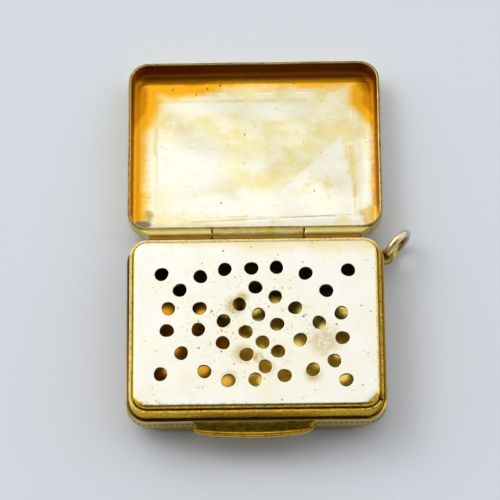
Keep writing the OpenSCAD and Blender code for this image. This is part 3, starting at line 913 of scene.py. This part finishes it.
# Painted reflections: a whiter patch with two straight sides right of the middle, and soft spots where
# reflections fall.
reflection_facet = between(20.69 + 0.986 * (x - 2.4) - y + ridge, -0.1, 0.35)
reflection_facet = reflection_facet * between(11.7 + 0.222 * (29.86 - y) - x + ridge, -0.1, 0.35)
painted_reflections = reflection_facet * between(patches, 0.25, 0.5) * 0.85
for *spot, strength in reflection_spots:
    painted_reflections = most(painted_reflections, reflection_spot(*spot) * strength)
band_reach = 1.3 * between(x, 4, -4) + (2.1 + 1.1 * between(x, -4, 4)) * between(y, 30, 35.5)
from_side = 16.65 - abs(x) + (clouds - 0.5) * 1.4 + (fine - 0.5) * 0.9 - band_reach
from_far = 38.1 - y + (clouds - 0.5) * 2.4 + (fine - 0.5) * 1.1 - 1.3 * between(x, -2, -9)
from_walls = least(from_side, from_far) + (streaks - 0.5) * 0.8
near_left = span(x + 15.1, (y - 16.8) * 2) + (fine - 0.5) * 0.8
near_fleck = span(x + 14.2, (y - 18.0) * 0.7) + (fine - 0.5) * 1.4
near_right = span(x - 15.6, y - 17.8) + (fine - 0.5) * 2.4
far_corner = between(span(x - 16.3, y - 38.6) + (fine - 0.5) * 1.2, 3.0, 1.4)
far_wall = between(y + (fine - 0.5) * 0.3, 38.5, 38.95)
from_mid_x, from_mid_y = abs(x), abs(y - border_mid)
side_lines = between(abs(from_mid_x - border_x), 0.28, 0.06)
side_lines = side_lines * between(from_mid_y, border_y + border_end, border_y)
end_lines = between(abs(from_mid_y - border_y), 0.28, 0.06)
end_lines = end_lines * between(from_mid_x, border_x + border_end, border_x)
border = most(side_lines, end_lines)
faint_border = border * between(patches, 0.42, 0.62)
drawn_lines = most(stroke(-13.2, 35.5, 6.8, 35.5, 0.4), stroke(-13.4, 35, -13.5, 27.5, 0.5))
specks = pits(place, 1.6, 0.2, 0.4) * between(clouds, 0.35, 0.55) + pits(place, 0.6, 0.11, 0.12)
inside_gold = coats(
    lid_khaki,
    (between(patches + 0.35 * (streaks - 0.5), 0.30, 0.68), lid_pale),
    (painted_reflections, reflection_white),
    (between(rubs, 0.52, 0.72) * 0.4, lid_khaki),
    # Towards the walls the floor goes gold, orange and red-brown: partly gilding left unpolished there,
    # partly painted reflection and shade.
    (between(from_walls, 1.5, 0.3), lid_gold),
    (between(from_walls, 0.7, -0.3), lid_orange),
    (between(from_walls, -0.8, -1.7) * 0.8, wall_red_brown),
    # Painted shade: brown in the nook where the floor turns up into the walls.
    (between(in_nook + (fine - 0.5) * 0.15, 0.86, 0.95) * 0.85, lid_brown),
    (between(x + (fine - 0.5) * 0.7, half_w - 1.4, half_w - 0.8) * 0.9, wall_brown),
    # Painted reflection: a dull grey patch in the near left corner.
    (between(near_left, 1.5, 0.8) * 0.9, grey_corner_reflection),
    (between(near_fleck, 0.8, 0.2) * 0.7, fleck_brown),
    (between(near_right, 2.0, 0.8) * 0.7, corner_gold),
    (most(far_corner, far_wall) * 0.95, lid_brown),
)
colour = coats(
    olive_gold,
    (between(clouds, 0.4, 0.7) * 0.5, thin_gold),
    (within, inside_gold),
    (between(rim + (fine - 0.5) * 0.4, 0.1, 0.5), rim_olive),
    (between(rim_flecks, 0.52, 0.64) * between(rim, 0.3, 0.7) * 0.7, dull_gold),
    (between(rim_flecks, 0.46, 0.36) * between(rim, 0.1, 0.5) * 0.7, marks_and_shade_brown),
    (border * (1 - within) * 0.6, marks_and_shade_brown),
    (faint_border * within * 0.3, lid_gold),
    (drawn_lines * 0.35, line_brown),
    (stroke(-8.6, 17.05, 12.7, 17.9, 0.14) * 0.4, marks_and_shade_brown),
    (stroke(13.0, 28.2, 13.4, 20.8, 0.5) * 0.6, line_gold),
    (least(specks, 1.0) * 0.75, speck_brown),
)
matt = most(most(between(in_nook, 0.5, 0.72), rim), 0.5 - 0.5 * within)
relief = faint_border * 0.25 + 0.03 * scuffs + 0.04 * fine - specks
burnish(shader, colour, 0.05 + 0.06 * scuffs + 0.36 * matt, relief, 0.02)
marks = {"rubbed": rubbed, "inside": inside, "nook": nook}
make_piece("lid", points, faces, "lid", ["lid_tray"], "gilt_inside", lid_gilt, **marks)


# Hinge of the lid. Two gilt tubes soldered to the lid along their own bearers, with their outer ends filed
# off to a slope and stopped with plugs, so that the pin can't be seen. Their backs are painted paler as a
# highlight and their fronts darker as shade.
filed_at = 14.5
knuckle_gold = (0.56, 0.38, 0.055, 1)
knuckle_dull = (0.60, 0.48, 0.17, 1)
knuckle_highlight = (0.84, 0.68, 0.24, 1)
knuckle_shade = (0.44, 0.22, 0.012, 1)


def filed_end(y):
    """Where the filed end lies on the right, for a distance behind the hinge's axis."""
    return filed_at - y


tube_gilt, shader, place = new_finish("tube_gilt")
clouds = grain(place, 2, 4)
x, y, z = parts_of(place)
shaded_front = between(y + (clouds - 0.5) * 0.2, axis_y - 0.3, axis_y - 0.5)
colour = coats(
    knuckle_gold,
    (between(clouds, 0.4, 0.7) * 0.8, knuckle_dull),
    # Painted highlight on the tubes' backs and painted shade on their fronts.
    ((1 - shaded_front) * 0.6, knuckle_highlight),
    (shaded_front * 0.7, knuckle_shade),
    (pits(place, 0.8, 0.14, 0.35) * 0.7, marks_and_shade_brown),
)
drawn = grain(place, 0.14, 3, (0.1, 1, 1))
burnish(shader, colour, 0.3 + 0.2 * drawn, drawn, 0.012)
for name, side, start in (("left", -1, -mid_left), ("right", 1, mid_right)):
    points, faces = hinge_tube(start + tube_gap, filed_end, 40)
    points = hand_worked(points, amount=0.015, size=2, seed=50 + side)
    points = [thrown_back @ Vector((side * p.x, p.y, p.z)) for p in points]
    make_piece("hinge_tube_" + name, points, faces, "lid", ["lid_knuckle_" + name], "gilt_edge", tube_gilt)
    dress("lid_bearer_" + name, inner_gilt)
    dress("hinge_plug_" + name, tube_gilt)


# Suspension ring and eye. A strip bent into a staple and soldered to the back right corner carries a soldered
# ring of round wire for a chain or ribbon. The ring is gold by the box and worn to grey at its far end. Its
# inner side is painted darker as shade between its strands.
eye_at = next(j for j in frame["joints"] if j["name"] == "ring_swing")["pos_m"]
ring_mid, wire_r, ring_heading, ring_lean = 2.075, 0.5, 48, 2
held_wear, held_spread, joint_wear, joint_spread, joint_turn = 0.1, 0.4, 0.05, 0.05, 2.0
ring_cuts, wire_cuts = 120, 28
ring_gold = (0.98, 0.83, 0.38, 1)
ring_grey = (0.50, 0.49, 0.42, 1)
ring_fleck = (0.26, 0.20, 0.11, 1)
eye_gold = (0.62, 0.38, 0.04, 1)
eye_brown = (0.30, 0.17, 0.02, 1)
ring_place = Matrix.Translation([c / mm for c in eye_at])
ring_place = ring_place @ Matrix.Rotation(math.radians(ring_heading), 4, "Z")
ring_place = ring_place @ Matrix.Rotation(math.radians(90 + ring_lean), 4, "X")
ring_place = ring_place @ Matrix.Translation((ring_mid, 0, 0))
points, far, inner = [], [], []
for i in range(ring_cuts):
    t = 2 * math.pi * i / ring_cuts
    held = math.exp(-(((t - math.pi) / held_spread) ** 2))
    joint = math.exp(-(((t - joint_turn) / joint_spread) ** 2))
    reach = wire_r * (1 - held_wear * held - joint_wear * joint)
    for k in range(wire_cuts):
        s = 2 * math.pi * k / wire_cuts
        points.append(ring_place @ set_out(0, 0, t, ring_mid + reach * math.cos(s), reach * math.sin(s)))
        far.append(0.5 + 0.5 * math.cos(t))
        inner.append(max(0.0, -math.cos(s)))
faces = skin(ring_cuts, wire_cuts, shut_rows=True)
points = hand_worked(points, amount=0.02, size=1, seed=61)

ring_silver, shader, place = new_finish("ring_silver")
clouds = grain(place, 0.9, 4)
fine = grain(place, 0.2, 4)
bare = between(marked(place, "far") + (clouds - 0.5) * 0.5, 0.35, 0.9)
at_eye = between(marked(place, "far") + (clouds - 0.5) * 0.1, 0.12, 0.03)
inner_shade = between(marked(place, "inner") + (clouds - 0.5) * 0.4, 0.2, 0.8)
colour = coats(
    ring_gold,
    (bare, ring_grey),
    (between(fine, 0.6, 0.8) * 0.5, ring_fleck),
    (at_eye * 0.8, eye_brown),
    # Painted shade on the ring's inner side, between its strands.
    (inner_shade * 0.7, dull_gold),
)
burnish(shader, colour, 0.2 + 0.2 * fine, fine, 0.012)
marks = {"far": far, "inner": inner}
make_piece("ring", points, faces, "ring", ["suspension_ring"], "worn_silver", ring_silver, **marks)

eye_gilt, shader, place = new_finish("eye_gilt")
clouds = grain(place, 0.7, 4)
colour = coats(eye_gold, (between(clouds, 0.35, 0.65), eye_brown))
burnish(shader, colour, 0.3 + 0.2 * clouds, clouds, 0.02)
dress("suspension_eye", eye_gilt)
eye_edges = frame["nodes"]["suspension_eye"].modifiers.new("soft_edges", "BEVEL")
eye_edges.width, eye_edges.segments = 0.07 * mm, 2
eye_edges.limit_method, eye_edges.angle_limit = "ANGLE", 0.7


# Table. A sheet of pale, slightly blue paper, which the box and the lid's far edge both rest on. It lies a
# hair lower than they do, so that no two faces fall in one plane.
table_reach, table_drop = 1.5, 0.01 * mm
paper_low = (0.87, 0.90, 0.95, 1)
paper_high = (0.90, 0.93, 0.98, 1)
sides = ((-1, -1), (1, -1), (1, 1), (-1, 1))
corners = [Vector((x * table_reach, y * table_reach, -table_drop)) for x, y in sides]
table_mesh = bpy.data.meshes.new("table")
table_mesh.from_pydata(corners, [], [(0, 1, 2, 3)])
table = bpy.data.objects.new("table", table_mesh)
bpy.context.scene.collection.objects.link(table)
paper, shader, place = new_finish("paper", 0.0)
shader.inputs["Specular IOR Level"].default_value = 0.1
fibre = grain(place, 0.6, 4)
burnish(shader, coats(paper_low, (fibre, paper_high)), 0.7 + 0.1 * fibre)
table_mesh.materials.append(paper)


# Light. A white room with a paler panel overhead, one large soft lamp low behind the box, and a dimmer side
# where the camera stands, with the camera's own black hood in the middle.
room_tint = (1.0, 1.01, 1.03)
camera_side = Vector((0.012, -0.403, 0.915)).normalized()
hood_edge, hood_core = math.cos(math.radians(42)), math.cos(math.radians(14))
room = bpy.data.worlds.new("room")
bpy.context.scene.world = room
room.use_nodes = True
tree = room.node_tree
look = Paint(tree).add("TexCoord", {}, {}, "Generated")
x, y, z = parts_of(look)
dark = between(x * camera_side.x + y * camera_side.y + z * camera_side.z, hood_edge, hood_core)
level = 0.5 + 0.37 * between(y, -0.3, 0.28)
level = level * (1 - 0.75 * between(y, 0.1, -0.3) * between(z, 0.6, 0.2))
panel = between(0.6 * x + y, 0.518, 0.512) * between(y, 0.1, 0.25)
walls = between(abs(x), 0.4, 0.6) * between(y, -0.35, -0.05)
level = (level + 0.2 * panel + 0.3 * walls) * (1 - 0.97 * dark)
cool_light = level.add("VectorMath", {"operation": "SCALE"}, {0: room_tint, "Scale": level})
tree.links.new(cool_light.socket, tree.nodes["Background"].inputs["Color"])

lamp = bpy.data.lights.new("soft_lamp", "AREA")
lamp.color = (1.0, 0.985, 0.95)
lamp.shape, lamp.size, lamp.size_y, lamp.energy = "RECTANGLE", 0.6, 0.4, 1.6
soft_lamp = bpy.data.objects.new("soft_lamp", lamp)
bpy.context.scene.collection.objects.link(soft_lamp)
lamp_from, lamp_to = Vector((-0.50, 0.48, 0.66)), Vector((0, 0.012, 0))
soft_lamp.location = lamp_from
soft_lamp.rotation_euler = (lamp_to - lamp_from).to_track_quat("-Z", "Y").to_euler()


# Camera. Steeply above the front with a long lens, a little to the right and a little tilted. It is set by
# its elevation, azimuth and roll, and by its distance from the point that it is aimed at.
elevation, azimuth, roll = (math.radians(a) for a in (66.247, 1.756, -2.367))
aim, camera_far = Vector((-0.701, 11.517, 4.6)) * mm, 465.787 * mm
sensor, focal_pixels, photo_pixels = 36, 3516, 500
level_out = math.cos(elevation)
back = Vector((math.sin(azimuth) * level_out, -math.cos(azimuth) * level_out, math.sin(elevation)))
level_right = Vector((math.cos(azimuth), math.sin(azimuth), 0))
level_up = back.cross(level_right)
right = level_right * math.cos(roll) + level_up * math.sin(roll)
up = level_up * math.cos(roll) - level_right * math.sin(roll)
lens = bpy.data.cameras.new("camera")
lens.sensor_width, lens.lens = sensor, sensor * focal_pixels / photo_pixels
lens.clip_start, lens.clip_end = 0.01, 20
camera = bpy.data.objects.new("camera", lens)
bpy.context.scene.collection.objects.link(camera)
turned_to_view = Matrix((right, up, back)).transposed().to_4x4()
camera.matrix_world = Matrix.Translation(aim + back * camera_far) @ turned_to_view
bpy.context.scene.camera = camera
bpy.context.scene.view_settings.view_transform = "Standard"
